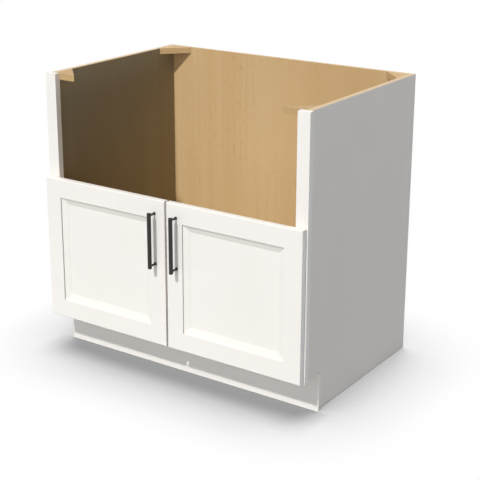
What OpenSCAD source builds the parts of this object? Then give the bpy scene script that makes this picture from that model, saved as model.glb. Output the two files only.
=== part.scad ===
// Framed sink base cabinet with an open apron bay above two doors.
// X runs along the wall, Y from the doors to the wall, Z up.
// The origin is on the floor, in the wall plane, at the middle of the width.

/* [Cabinet] */
// Overall width across the face frame
cabinet_w = 914.4; // [760:0.1:1220]
// Depth from the wall to the front of the face frame
cabinet_d = 609.6; // [500:0.1:740]
// Height from the floor to the top edges
cabinet_h = 876.3; // [720:0.1:1060]

/* [Carcass] */
// Thickness of the side panels
side_t = 15.9; // [12:0.1:20]
// Thickness of the back panel
back_t = 12.7; // [6:0.1:16]
// Thickness of the bottom panel
bottom_t = 12.7; // [9:0.1:19]
// Depth of the housings that carry the bottom panel in the sides
housing_depth = 6.4; // [3:0.1:9]
// Width of the rebate that holds the back panel in each side
rebate_w = 9.5; // [5:0.1:11]
// Thickness of the brace that stands under the middle of the bottom panel
brace_t = 12.7; // [9:0.1:19]
// Slack between a panel and the groove that it sits in
groove_slack = 0.2; // [0.1:0.05:0.5]

/* [Toe kick] */
// Height of the toe recess
toe_h = 114.3; // [80:0.1:150]
// Depth of the toe recess behind the front of the face frame
toe_recess = 76.2; // [50:0.1:100]
// Thickness of the toe board that shows
toe_board_t = 12.7; // [6:0.1:19]
// Thickness of the sub-base board behind the toe board
sub_base_t = 12.7; // [9:0.1:19]

/* [Face frame] */
// Thickness of the face frame
frame_t = 19.05; // [16:0.05:25]
// Width of the face frame stiles
frame_stile_w = 38.1; // [36:0.1:50]
// Height of the face frame rails
frame_rail_h = 38.1; // [25:0.1:50]
// How far the doors stand above the top of the middle rail
rail_cover = 12.7; // [8:0.1:20]
// How far the face frame and the toe board stand beyond each side panel
frame_overhang = 5.6; // [0:0.1:8]
// Length of the tenons on the rails
tenon_l = 14; // [8:0.5:20]
// Thickness of the tenons
tenon_t = 7; // [5:0.5:9]
// Shoulder above and below a tenon
tenon_shoulder = 6; // [3:0.5:9]
// Slack round a tenon in its mortise
tenon_slack = 0.15; // [0.1:0.05:0.4]

/* [Corner blocks] */
// Length of the two square edges of a corner block
block_leg = 74; // [50:0.5:100]
// Thickness of a corner block
block_t = 19.05; // [12:0.05:25]
// Radius of the countertop screw hole
block_hole_r = 2.75; // [2:0.05:4]
// Distance of the countertop screw hole from both square edges
block_hole_inset = 22; // [14:0.5:30]

/* [Doors] */
// Height of the doors
door_h = 444.5; // [370:0.1:540]
// Thickness of the doors
door_t = 19.05; // [18:0.05:25]
// Overlay of the closed doors on the stiles of the face frame
overlay = 34.9; // [33.5:0.1:35.4]
// Reveal between the doors and the foot of the face frame
foot_reveal = 4; // [2:0.1:8]
// Gap between the meeting edges of the doors
meeting_gap = 6.4; // [3:0.1:10]
// Gap between the closed doors and the face frame
bumper_gap = 3; // [2.8:0.1:4]
// Rounding of the outer edges of the doors at the front
door_edge_r = 2.5; // [1:0.1:3]
// Rounding of the outer edges of the doors at the back
door_back_edge_r = 1; // [0.5:0.1:2]

/* [Door framing] */
// Width of the flat face of the door stiles
stile_flat = 56; // [45:0.1:80]
// Width of the flat face of the door rails
rail_flat = 57; // [45:0.1:80]
// Depth of the square step beside the flat face
step_depth = 4.2; // [1:0.1:5]
// Width of the sloping moulding inside the step
bevel_w = 20; // [14:0.1:30]
// Fall of the sloping moulding from the step to its inner edge
bevel_drop = 6; // [2:0.1:6.5]
// Thickness of the moulding's inner edge in front of the panel
lip_t = 1; // [0.8:0.1:1.5]
// Thickness of the door panels
panel_t = 5.2; // [4:0.1:6]
// Depth of the groove that holds a door panel
panel_groove = 10; // [6:0.1:12]
// Room left for a panel to move in each groove
panel_room = 1; // [0.5:0.1:2]

/* [Hinges] */
// Distance of the hinges from the top and bottom of a door
hinge_inset = 80; // [80:1:110]
// Radius of the hinge cup
cup_r = 17.5; // [17.5:0.1:18]
// Depth of the hinge cup in the door
cup_depth = 13; // [12.5:0.1:14]
// Clearance between the hinge cup and the arm where it wraps the stile
wrap_clearance = 0.8; // [0.5:0.1:1]
// Thickness of the hinge cup's walls and floor
cup_wall = 0.8; // [0.6:0.1:1]
// Radius of the hinge pin
pin_r = 1.2; // [1:0.05:1.4]
// Length of the hinge pin
pin_l = 18; // [14:0.5:19]
// Distance of the hinge pin in front of the face frame
pin_lead = 10; // [9.5:0.1:10.5]
// Width of the hinge arm where it enters the cup
arm_w = 7.6; // [6:0.1:8]
// Thickness of the hinge arm where it wraps the stile
arm_t = 1.5; // [1.2:0.1:1.8]
// Outside radius of the bend where the hinge arm turns into the cabinet
arm_bend_r = 2; // [1:0.1:2.2]
// Height of the hinge arm's screw plate
arm_plate_h = 48; // [44:0.5:56]
// Depth of the hinge arm's screw plate
arm_plate_d = 16; // [12:0.5:17]
// Rounding of the corners of the hinge arm's screw plate
arm_corner_r = 4; // [2:0.5:5]
// Height adjustment that the slots in the screw plate allow either way
arm_slot_play = 2.5; // [1:0.1:3]
// Running clearance of the pin in the arm
pin_clearance = 0.05; // [0.02:0.01:0.09]

/* [Handles] */
// Diameter of the handle bar
bar_d = 12; // [10:0.1:14]
// Length of the handle bar
bar_l = 168; // [140:0.5:210]
// Distance between the centres of the two posts
post_spacing = 152.4; // [120:0.1:180]
// Distance of the bar's axis from the front of the door
bar_standoff = 26; // [22:0.5:38]
// Distance of the handle from the meeting edge of the door
bar_edge_inset = 35; // [25:0.5:45]
// Distance of the bar's top below the top of the door
bar_drop = 33.5; // [20:0.5:60]
// Radius of the posts at their waist
post_r = 3.3; // [3:0.1:4]
// Radius of the posts' feet on the door
post_foot_r = 4.6; // [4.5:0.1:6]

/* [Fasteners] */
// Radius of the wood screws
screw_r = 1.7; // [1.5:0.05:2]
// Radius of the wood screws' heads
screw_head_r = 3.4; // [3:0.05:3.6]
// Length of the wood screws in the wood
screw_l = 14; // [10:0.5:15]
// Radius of the handle screws
handle_screw_r = 2; // [1.5:0.05:2.2]
// Radius of the handle screws' heads
handle_head_r = 4.2; // [3.5:0.1:5]
// Slack round a fixed screw, pin or post
seat_slack = 0.02; // [0.01:0.01:0.05]

/* [Hidden] */
$fn = 64;
left = -1;
right = 1;
lower = 0;
upper = 1;
cut = 1;

half_w = cabinet_w / 2;
side_outer_x = half_w - frame_overhang;
side_inner_x = side_outer_x - side_t;
front_y = -cabinet_d;
frame_back_y = front_y + frame_t;
back_inner_y = -back_t;

toe_board_y = front_y + toe_recess;
notch_y = toe_board_y + toe_board_t;
deck_z = toe_h + frame_rail_h;
deck_under_z = deck_z - bottom_t;

bay_w = cabinet_w - 2 * frame_stile_w;
side_reveal = frame_stile_w - overlay;
door_w = (bay_w + 2 * overlay - meeting_gap) / 2;
door_front_y = front_y - bumper_gap - door_t;
door_foot_z = toe_h + foot_reveal;
door_top_z = door_foot_z + door_h;
middle_rail_z = door_top_z - rail_cover - frame_rail_h;
frame_rail_zs = [toe_h, middle_rail_z];

stile_w = stile_flat + bevel_w;
rail_w = rail_flat + bevel_w;
panel_face = step_depth + bevel_drop + lip_t;
groove_back = panel_face + panel_t + groove_slack;

frame_face = door_t + bumper_gap;
cup_end_x = overlay + arm_t + wrap_clearance + cup_wall;
cup_x = cup_end_x - cup_r;
cup_floor = door_t - cup_depth;
flange_t = 1;
flange_rim = 0.5;
ear_half = 29;
ear_x = cup_x + 9.5;
ear_r = 6;
ear_screw_z = 22.5;
cup_window = cup_r - cup_wall;
cup_slot_w = arm_w + 1.2;
cup_bowl_half = 9;
cup_slack = 0.05;
knuckle_r = pin_r + 1.3;
knuckle_gap = 0.3;
pin_x = cup_x - cup_window + knuckle_gap + knuckle_r;
pin_y = frame_face - pin_lead;
arm_leg_t = knuckle_r - 0.2;
arm_screw_z = 16;
arm_plate_gap = 0.5;
arm_plate_y = frame_face + arm_plate_gap;
arm_screw_y = arm_plate_y + arm_plate_d / 2;
arm_slot_half = screw_r + 0.3;
screw_head_h = 1.8;
hinge_zs = [hinge_inset, door_h - hinge_inset];

bar_r = bar_d / 2;
bar_end_r = 2.5;
bar_x = door_w - bar_edge_inset;
bar_z = door_h - bar_drop - bar_l / 2;
post_zs = [bar_z - post_spacing / 2, bar_z + post_spacing / 2];
post_foot_l = 1.6;
spigot_r = 2;
spigot_l = 4;
handle_head_h = 1.8;
handle_screw_bite = 9;

bumper_r = 5;
bumper_t = bumper_gap - 0.3;
bumper_inset = 18;
bumper_zs = [frame_rail_h / 2 - foot_reveal, door_h - rail_cover - frame_rail_h / 2];

paint = [0.955, 0.945, 0.92];
maple = [0.78, 0.65, 0.46];
block_maple = [0.82, 0.69, 0.5];
plywood = [0.75, 0.64, 0.48];
black_metal = [0.19, 0.185, 0.18];
plated_steel = [0.72, 0.72, 0.71];
clear_rubber = [0.85, 0.85, 0.82];

// ---------- placing ----------

// Puts a shape drawn for the right half on either half of the cabinet.
module on_half(side) {
    if (side == right) children();
    else mirror([1, 0, 0]) children();
}

// Door drawings start at the lower front corner on the hinge edge:
// x towards the meeting edge, y from the front face to the back, z up.
module on_door(side) {
    on_half(side)
        translate([half_w - side_reveal, door_front_y, door_foot_z])
            mirror([1, 0, 0]) children();
}

// Extrudes a drawing in y and z from one x to another.
module along_x(from, to) {
    translate([from, 0, 0])
        rotate([90, 0, 90])
            linear_extrude(height = to - from) children();
}

// A box between two opposite corners.
module block(low, high) {
    translate(low) cube(high - low);
}

// A cylinder that runs in +y from the given point.
module rod_y(at, r, l) {
    translate(at) rotate([-90, 0, 0]) cylinder(r = r, h = l);
}

// A cylinder that runs in +x from the given point.
module rod_x(at, r, l) {
    translate(at) rotate([0, 90, 0]) cylinder(r = r, h = l);
}

// A rectangle with four round corners.
module soft_rectangle(w, h, r) {
    translate([r, 0]) square([w - 2 * r, h]);
    translate([0, r]) square([w, h - 2 * r]);
    for (x = [r, w - r], y = [r, h - r]) translate([x, y]) circle(r = r);
}

// ---------- carcass ----------

module side_panel(side) {
    color(paint) on_half(side) difference() {
        block([side_inner_x, frame_back_y, 0], [side_outer_x, 0, cabinet_h]);
        // toe recess
        block([side_inner_x - cut, frame_back_y - cut, -cut], [side_outer_x + cut, notch_y, toe_h]);
        // rebate for the back panel
        block([side_inner_x - cut, back_inner_y, -cut],
              [side_inner_x + rebate_w, cut, cabinet_h + cut]);
        // housing for the bottom panel
        block([side_inner_x - cut, frame_back_y - cut, deck_under_z - groove_slack / 2],
              [side_inner_x + housing_depth, back_inner_y + cut, deck_z + groove_slack / 2]);
    }
}

module back_panel() {
    reach = side_inner_x + rebate_w - groove_slack;
    color(maple) block([-reach, back_inner_y, 0], [reach, 0, cabinet_h]);
}

module bottom_panel() {
    reach = side_inner_x + housing_depth - groove_slack;
    color(maple) block([-reach, frame_back_y, deck_under_z], [reach, back_inner_y, deck_z]);
}

module toe_kick_board() {
    color(paint) block([-half_w, toe_board_y, 0], [half_w, notch_y, toe_h]);
}

module sub_base_board() {
    color(plywood)
        block([-side_inner_x, notch_y, 0], [side_inner_x, notch_y + sub_base_t, deck_under_z]);
}

module deck_brace() {
    color(plywood)
        block([-brace_t / 2, notch_y + sub_base_t, 0], [brace_t / 2, back_inner_y, deck_under_z]);
}

// A corner block fills the corner where the given side meets the front or the back.
module corner_block(side, corner_y, inwards) {
    color(block_maple) on_half(side)
        translate([side_inner_x, corner_y, cabinet_h - block_t])
            difference() {
                linear_extrude(height = block_t)
                    polygon([[0, 0], [-block_leg, 0], [0, inwards * block_leg]]);
                translate([-block_hole_inset, inwards * block_hole_inset, -cut])
                    cylinder(r = block_hole_r, h = block_t + 2 * cut);
            }
}

// ---------- face frame ----------

// The tenon's own section, or with slack the mortise's, at the foot of a rail.
module tenon_section(z, slack) {
    middle_y = front_y + frame_t / 2;
    translate([middle_y - tenon_t / 2 - slack, z + tenon_shoulder - slack])
        square([tenon_t + 2 * slack, frame_rail_h - 2 * tenon_shoulder + 2 * slack]);
}

module face_stile(side) {
    inner_x = half_w - frame_stile_w;
    color(paint) on_half(side) difference() {
        block([inner_x, front_y, toe_h], [half_w, frame_back_y, cabinet_h]);
        for (z = frame_rail_zs)
            along_x(inner_x - cut, inner_x + tenon_l + groove_slack) tenon_section(z, tenon_slack);
        for (z = hinge_zs, dz = [-arm_screw_z, arm_screw_z])
            rod_x([inner_x - cut, door_front_y + arm_screw_y, door_foot_z + z + dz],
                  screw_r + seat_slack, screw_l + cut + seat_slack);
    }
}

module face_rail(z) {
    color(paint) union() {
        block([-bay_w / 2, front_y, z], [bay_w / 2, frame_back_y, z + frame_rail_h]);
        along_x(-bay_w / 2 - tenon_l, bay_w / 2 + tenon_l) tenon_section(z, 0);
    }
}

// ---------- doors ----------

// Section of a door stile or rail: the width from its outer edge, then the depth from the front.
function door_section(w) = [
    [0, 0], [w - bevel_w, 0], [w - bevel_w, step_depth], [w, step_depth + bevel_drop],
    [w, panel_face], [w - panel_groove, panel_face], [w - panel_groove, groove_back],
    [w, groove_back], [w, door_t], [0, door_t]
];

// Section of a whole door of the given length, drawn with its depth first.
module edge_section(length) {
    intersection() {
        soft_rectangle(door_t + door_edge_r, length, door_edge_r);
        translate([-door_back_edge_r, 0])
            soft_rectangle(door_t + door_back_edge_r, length, door_back_edge_r);
    }
}

// The closed outline of a whole door, with its outer edges rounded.
module door_outline() {
    intersection() {
        along_x(0, door_w) edge_section(door_h);
        linear_extrude(height = door_h) mirror([1, -1]) edge_section(door_w);
    }
}

module hinge_stile_stick() {
    linear_extrude(height = door_h) polygon(door_section(stile_w));
}

module meeting_stile_stick() {
    translate([door_w, 0, 0]) mirror([1, 0, 0]) hinge_stile_stick();
}

module door_hinge_stile(side) {
    color(paint) on_door(side) difference() {
        intersection() {
            hinge_stile_stick();
            door_outline();
        }
        for (z = hinge_zs) {
            rod_y([cup_x, cup_floor - cup_slack, z], cup_r + cup_slack, cup_depth + cut);
            for (dz = [-ear_screw_z, ear_screw_z])
                rod_y([ear_x, door_t - screw_l - seat_slack, z + dz],
                      screw_r + seat_slack, screw_l + cut);
        }
    }
}

module door_meeting_stile(side) {
    color(paint) on_door(side) difference() {
        intersection() {
            meeting_stile_stick();
            door_outline();
        }
        for (z = post_zs) rod_y([bar_x, -cut, z], handle_screw_r + seat_slack, door_t + 2 * cut);
    }
}

// A rail's ends are coped: cut to the shape of the stiles that they meet.
module door_rail(side, flip) {
    section = [for (p = door_section(rail_w)) [p[1], flip ? door_h - p[0] : p[0]]];
    color(paint) on_door(side) difference() {
        intersection() {
            along_x(stile_flat, door_w - stile_flat) polygon(section);
            door_outline();
        }
        hinge_stile_stick();
        meeting_stile_stick();
    }
}

module door_panel(side) {
    inset_x = stile_w - panel_groove + panel_room;
    inset_z = rail_w - panel_groove + panel_room;
    color(paint) on_door(side)
        block([inset_x, panel_face, inset_z],
              [door_w - inset_x, panel_face + panel_t, door_h - inset_z]);
}

// ---------- hinges ----------

// The round end of the flange plate and its two screw ears, seen from behind.
module cup_flange_outline() {
    circle(r = cup_r + flange_rim);
    for (dz = [-1, 1]) {
        translate([ear_x - cup_x, dz * (ear_half - ear_r)]) circle(r = ear_r);
    }
    translate([ear_x - cup_x - ear_r, ear_r - ear_half])
        square([2 * ear_r, 2 * (ear_half - ear_r)]);
}

module hinge_cup(side, which) {
    color(plated_steel) on_door(side) translate([0, 0, hinge_zs[which]]) difference() {
        union() {
            rod_y([cup_x, cup_floor, 0], cup_r, cup_depth);
            translate([cup_x, door_t + flange_t, 0])
                rotate([90, 0, 0])
                    linear_extrude(height = flange_t) cup_flange_outline();
        }
        // slot that the arm swings in
        block([cup_x - cup_window, cup_floor + cup_wall, -cup_slot_w / 2],
              [cup_x + cup_window, door_t + flange_t + cut, cup_slot_w / 2]);
        // round bowl in the middle
        intersection() {
            rod_y([cup_x, cup_floor + cup_wall, 0], cup_r - 2 * cup_wall, cup_depth + flange_t);
            block([cup_x - cup_bowl_half, cup_floor, -cup_r],
                  [cup_x + cup_bowl_half, door_t + flange_t + cut, cup_r]);
        }
        translate([pin_x, pin_y, -pin_l / 2 - seat_slack])
            cylinder(r = pin_r + seat_slack, h = pin_l + 2 * seat_slack);
        for (dz = [-ear_screw_z, ear_screw_z]) {
            rod_y([ear_x, door_t - cut, dz], screw_r + seat_slack, flange_t + 2 * cut);
            translate([ear_x, door_t - cut, dz])
                rotate([-90, 0, 0])
                    cylinder(r1 = screw_r + seat_slack, r2 = screw_head_r + seat_slack,
                             h = flange_t + cut + seat_slack);
        }
    }
}

module hinge_pins(side) {
    color(plated_steel) on_door(side) for (z = hinge_zs)
        translate([pin_x, pin_y, z - pin_l / 2]) cylinder(r = pin_r, h = pin_l);
}

// Flat-headed screws that hold the cups' ears to the back of the door.
module hinge_cup_screws(side) {
    color(plated_steel) on_door(side) for (z = hinge_zs, dz = [-ear_screw_z, ear_screw_z]) {
        rod_y([ear_x, door_t - screw_l, z + dz], screw_r, screw_l);
        translate([ear_x, door_t, z + dz])
            rotate([-90, 0, 0]) cylinder(r1 = screw_r, r2 = screw_head_r, h = flange_t);
    }
}

// The arm's strip seen from above: out of the cup, round the bend and back along the stile.
module arm_strip() {
    leg_front = pin_y - knuckle_r;
    outer_x = overlay + arm_t;
    difference() {
        union() {
            translate([pin_x, leg_front]) square([outer_x - pin_x, arm_leg_t]);
            translate([overlay, leg_front]) square([arm_t, arm_plate_y + arm_plate_d - leg_front]);
        }
        translate([outer_x - arm_bend_r, leg_front - cut]) difference() {
            square([arm_bend_r + cut, arm_bend_r + cut]);
            translate([0, arm_bend_r + cut]) circle(r = arm_bend_r);
        }
    }
}

// The arm starts at the knuckle round the pin, leaves the cup in front of the face frame,
// wraps the inner edge of the frame stile and ends in a screw plate on it.
module hinge_arm(side, which) {
    color(plated_steel) on_door(side) translate([0, 0, hinge_zs[which]]) difference() {
        union() {
            translate([pin_x, pin_y, -arm_w / 2]) cylinder(r = knuckle_r, h = arm_w);
            translate([0, 0, -arm_w / 2]) linear_extrude(height = arm_w) arm_strip();
            along_x(overlay, overlay + arm_t)
                translate([arm_plate_y, -arm_plate_h / 2])
                    soft_rectangle(arm_plate_d, arm_plate_h, arm_corner_r);
        }
        translate([pin_x, pin_y, -arm_w / 2 - cut])
            cylinder(r = pin_r + pin_clearance, h = arm_w + 2 * cut);
        // upright slots, so that the door can be raised or lowered
        for (dz = [-arm_screw_z, arm_screw_z])
            along_x(overlay - cut, overlay + arm_t + cut)
                translate([arm_screw_y - arm_slot_half, dz - arm_slot_half - arm_slot_play])
                    soft_rectangle(2 * arm_slot_half, 2 * (arm_slot_half + arm_slot_play),
                                   arm_slot_half - 0.1);
    }
}

module hinge_arm_screws() {
    head_x = overlay + arm_t;
    color(plated_steel)
        for (side = [left, right], z = hinge_zs, dz = [-arm_screw_z, arm_screw_z])
            on_door(side) {
                rod_x([overlay - screw_l, arm_screw_y, z + dz], screw_r, screw_l + arm_t);
                rod_x([head_x, arm_screw_y, z + dz], screw_head_r, screw_head_h);
            }
}

// ---------- handles and bumpers ----------

module handle_bar(side) {
    color(black_metal) on_door(side) difference() {
        translate([bar_x, -bar_standoff, bar_z - bar_l / 2])
            rotate_extrude()
                intersection() {
                    translate([-bar_r, 0]) soft_rectangle(bar_d, bar_l, bar_end_r);
                    square([bar_r, bar_l]);
                }
        for (z = post_zs)
            rod_y([bar_x, bar_r - bar_standoff - spigot_l - seat_slack, z],
                  spigot_r + seat_slack, spigot_l + cut);
    }
}

module handle_posts(side) {
    color(black_metal) on_door(side) for (z = post_zs) {
        difference() {
            union() {
                rod_y([bar_x, -post_foot_l, z], post_foot_r, post_foot_l);
                rod_y([bar_x, -bar_standoff, z], post_r, bar_standoff);
            }
            translate([bar_x, -bar_standoff, z - post_foot_r - cut])
                cylinder(r = bar_r + seat_slack, h = 2 * (post_foot_r + cut));
            rod_y([bar_x, -handle_screw_bite - seat_slack, z],
                  handle_screw_r + seat_slack, handle_screw_bite + cut);
        }
        rod_y([bar_x, bar_r - bar_standoff - spigot_l, z], spigot_r, spigot_l + 1);
    }
}

module handle_screws(side) {
    color(plated_steel) on_door(side) for (z = post_zs) {
        rod_y([bar_x, -handle_screw_bite, z], handle_screw_r, door_t + handle_screw_bite);
        rod_y([bar_x, door_t, z], handle_head_r, handle_head_h);
    }
}

module door_bumpers(side) {
    color(clear_rubber) on_door(side) for (z = bumper_zs)
        rod_y([door_w - bumper_inset, door_t, z], bumper_r, bumper_t);
}

// ---------- nodes ----------

side_panel(left);  // left_side_panel
side_panel(right);  // right_side_panel
back_panel();
bottom_panel();
toe_kick_board();
sub_base_board();
deck_brace();
face_stile(left);  // left_face_stile
face_stile(right);  // right_face_stile
face_rail(toe_h);  // bottom_face_rail
face_rail(middle_rail_z);  // middle_face_rail
corner_block(left, frame_back_y, 1);  // front_left_corner_block
corner_block(right, frame_back_y, 1);  // front_right_corner_block
corner_block(left, back_inner_y, -1);  // rear_left_corner_block
corner_block(right, back_inner_y, -1);  // rear_right_corner_block
hinge_arm(left, upper);  // left_upper_hinge_arm
hinge_arm(left, lower);  // left_lower_hinge_arm
hinge_arm(right, upper);  // right_upper_hinge_arm
hinge_arm(right, lower);  // right_lower_hinge_arm
hinge_arm_screws();
door_hinge_stile(left);  // left_door_hinge_stile
door_meeting_stile(left);  // left_door_meeting_stile
door_rail(left, true);  // left_door_top_rail
door_rail(left, false);  // left_door_bottom_rail
door_panel(left);  // left_door_panel
hinge_cup(left, upper);  // left_upper_hinge_cup
hinge_cup(left, lower);  // left_lower_hinge_cup
hinge_pins(left);  // left_hinge_pins
hinge_cup_screws(left);  // left_hinge_cup_screws
handle_bar(left);  // left_handle_bar
handle_posts(left);  // left_handle_posts
handle_screws(left);  // left_handle_screws
door_bumpers(left);  // left_door_bumpers
door_hinge_stile(right);  // right_door_hinge_stile
door_meeting_stile(right);  // right_door_meeting_stile
door_rail(right, true);  // right_door_top_rail
door_rail(right, false);  // right_door_bottom_rail
door_panel(right);  // right_door_panel
hinge_cup(right, upper);  // right_upper_hinge_cup
hinge_cup(right, lower);  // right_lower_hinge_cup
hinge_pins(right);  // right_hinge_pins
hinge_cup_screws(right);  // right_hinge_cup_screws
handle_bar(right);  // right_handle_bar
handle_posts(right);  // right_handle_posts
handle_screws(right);  // right_handle_screws
door_bumpers(right);  // right_door_bumpers
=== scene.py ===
# %% [markdown]
# # A painted sink base cabinet
# The cabinet's construction is already made: every panel, rail, hinge and handle comes from the packed
# frame, at its real size. This lesson gives the pieces their finishes and adds the small fasteners. It
# starts by loading the frame and noting its box, because nothing that is added may make the cabinet bigger.

# %% Load the cabinet
import math

import bmesh
import bpy
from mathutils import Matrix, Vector


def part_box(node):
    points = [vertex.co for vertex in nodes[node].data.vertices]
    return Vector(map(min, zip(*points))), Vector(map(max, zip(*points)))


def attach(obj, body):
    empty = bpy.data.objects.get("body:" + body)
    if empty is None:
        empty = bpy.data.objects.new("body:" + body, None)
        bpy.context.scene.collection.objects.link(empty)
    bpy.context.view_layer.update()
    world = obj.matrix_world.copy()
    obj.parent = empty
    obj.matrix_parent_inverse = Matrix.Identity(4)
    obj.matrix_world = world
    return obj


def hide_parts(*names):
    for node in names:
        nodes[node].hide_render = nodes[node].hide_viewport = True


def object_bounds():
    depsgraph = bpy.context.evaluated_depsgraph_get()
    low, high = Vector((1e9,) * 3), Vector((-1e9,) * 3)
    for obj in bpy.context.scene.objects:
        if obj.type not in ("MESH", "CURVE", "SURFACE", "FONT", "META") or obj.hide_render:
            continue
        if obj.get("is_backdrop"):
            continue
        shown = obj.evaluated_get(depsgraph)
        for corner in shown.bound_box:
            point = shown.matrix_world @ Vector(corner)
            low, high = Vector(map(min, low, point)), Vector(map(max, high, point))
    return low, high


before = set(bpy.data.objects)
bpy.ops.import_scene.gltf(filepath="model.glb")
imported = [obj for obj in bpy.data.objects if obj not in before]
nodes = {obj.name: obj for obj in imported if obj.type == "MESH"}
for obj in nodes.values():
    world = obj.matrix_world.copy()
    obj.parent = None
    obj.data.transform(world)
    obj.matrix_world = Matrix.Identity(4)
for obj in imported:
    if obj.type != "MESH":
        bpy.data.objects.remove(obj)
cad_low, cad_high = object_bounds()
MM = 0.001
print("cabinet of", len(nodes), "pieces,", [round(side / MM, 1) for side in cad_high - cad_low], "mm")

# %% [markdown]
# ## The camera
# The cabinet is seen from above its right front corner, through a long lens, as in a catalogue. A camera is
# placed by three things: where it stands, the way it looks, and how its picture is cut out. Looking straight
# along one direction and then shifting the picture keeps the upright edges of the cabinet nearly upright, so
# the shift is used here and not a tilt.

# %% Place the camera
CAMERA_PLACE = Vector((1.97361, -3.15441, 1.55656))
CAMERA_AZIMUTH = 34.809
CAMERA_ELEVATION = 17.421
LENS_MM = 89.19
SENSOR_MM = 36.0
PICTURE_SHIFT = (0.02319, -0.07257)
CLIP_RANGE = (0.1, 100.0)


def direction(azimuth, elevation):
    """The way to a viewer or lamp, from angles in degrees. Azimuth 0 is in front, 90 to the right."""
    across, up = math.radians(azimuth), math.radians(elevation)
    level = math.cos(up)
    return Vector((math.sin(across) * level, -math.cos(across) * level, math.sin(up)))


def place_camera():
    lens = bpy.data.cameras.new("catalogue_camera")
    lens.lens = LENS_MM
    lens.sensor_width = SENSOR_MM
    lens.shift_x, lens.shift_y = PICTURE_SHIFT
    lens.clip_start, lens.clip_end = CLIP_RANGE
    camera = bpy.data.objects.new("catalogue_camera", lens)
    camera.location = CAMERA_PLACE
    towards = -direction(CAMERA_AZIMUTH, CAMERA_ELEVATION)
    camera.rotation_euler = towards.to_track_quat("-Z", "Y").to_euler()
    bpy.context.scene.collection.objects.link(camera)
    bpy.context.scene.camera = camera


place_camera()
print("camera stands", round(CAMERA_PLACE.length, 2), "m from the foot of the wall")

# %% [markdown]
# ## Short calls for shader nodes
# A procedural finish is a small network of nodes. A few helpers come first, because linking by hand takes
# many lines. Each adds a node, sets its sockets by name and hands back what the next node needs. A Mix node
# has a set of sockets for each kind of value, all with the same names, so those go by number.

# %% Helpers for shader nodes
FACTOR = 0
NUMBER_A, NUMBER_B, NUMBER_OUT = 2, 3, 0
COLOUR_A, COLOUR_B, COLOUR_OUT = 6, 7, 2


def fill_sockets(tree, made, sockets):
    """A socket takes a value, another node's output, or a list of outputs that it joins."""
    for key, value in sockets.items():
        for one in value if isinstance(value, list) else [value]:
            if isinstance(one, bpy.types.NodeSocket):
                tree.links.new(one, made.inputs[key])
            else:
                made.inputs[key].default_value = one


def add_node(tree, kind, sockets=None, **settings):
    made = tree.nodes.new(kind)
    for key, value in settings.items():
        setattr(made, key, value)
    fill_sockets(tree, made, sockets or {})
    return made


def shader_node(tree, kind, sockets=None, **settings):
    return add_node(tree, "ShaderNode" + kind, sockets, **settings)


def math_node(tree, operation, first, second=0.0):
    return shader_node(tree, "Math", {0: first, 1: second}, operation=operation).outputs[0]


def ramp(tree, value, low, high, to_low=0.0, to_high=1.0):
    """Spreads the stretch from low to high over a new range, and holds it at both ends."""
    sockets = {"Value": value, "From Min": low, "From Max": high, "To Min": to_low, "To Max": to_high}
    return shader_node(tree, "MapRange", sockets).outputs["Result"]


def graded(tree, value, stops):
    """Turns a number from 0 to 1 into another through a few stops, each a place and its value."""
    made = shader_node(tree, "ValToRGB", {"Fac": value})
    marks = made.color_ramp.elements
    while len(marks) < len(stops):
        marks.new(position=0.5)
    for mark, (place, level) in zip(marks, stops):
        mark.position = place
        mark.color = (level, level, level, 1.0)
    return made.outputs["Color"]


def mix_colour(tree, share, first, second):
    sockets = {FACTOR: share, COLOUR_A: first, COLOUR_B: second}
    return shader_node(tree, "Mix", sockets, data_type="RGBA").outputs[COLOUR_OUT]


def mix_number(tree, share, first, second):
    sockets = {FACTOR: share, NUMBER_A: first, NUMBER_B: second}
    return shader_node(tree, "Mix", sockets).outputs[NUMBER_OUT]


print("helpers for single nodes are ready")

# %% [markdown]
# ## Patterns and places on a piece
# Noise gives specks, streaks and clouds, each at its own scale. Squeezing the places along one axis before
# the noise reads them turns round specks into long streaks, which is the cheapest way to draw wood grain.
# Two more helpers tell where on the cabinet a place lies and which way its face looks, so a finish can
# change there.

# %% Helpers for patterns
WHOLE = (0.0, 1.0)
NOISE_RANGE = (0.3, 0.7)


def noise(tree, place, scale, detail=2.0, roughness=0.5):
    sockets = {"Vector": place, "Scale": scale, "Detail": detail, "Roughness": roughness}
    return shader_node(tree, "TexNoise", sockets).outputs["Fac"]


def object_place(tree):
    return shader_node(tree, "TexCoord").outputs["Object"]


def along_grain(tree, axis, squeeze, offset=(0.0, 0.0, 0.0)):
    scale = Vector((1.0, 1.0, 1.0))
    scale["XYZ".index(axis)] = squeeze
    sockets = {"Vector": object_place(tree), "Location": offset, "Scale": scale}
    return shader_node(tree, "Mapping", sockets).outputs["Vector"]


def place_along(tree, axis):
    return shader_node(tree, "SeparateXYZ", {"Vector": object_place(tree)}).outputs[axis]


def facing_along(tree, axis):
    """How squarely a face looks along an axis: 1 along it, 0 across it and -1 against it."""
    normal = shader_node(tree, "TexCoord").outputs["Normal"]
    return shader_node(tree, "SeparateXYZ", {"Vector": normal}).outputs[axis]


def over(tree, number, limit):
    return math_node(tree, "GREATER_THAN", number, limit)


def under(tree, number, limit):
    return math_node(tree, "LESS_THAN", number, limit)


def between(tree, number, low, high):
    return math_node(tree, "MULTIPLY", over(tree, number, low), under(tree, number, high))


print("helpers for patterns are ready")

# %% [markdown]
# ## A look and a finish
# A look is the pattern alone: a colour, a roughness and a height in metres for the bump. Keeping it apart
# from the surface shader means that one board can wear two looks, as the side panels do, which are painted
# outside and bare maple inside. A finish is a material made from a look.

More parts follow.
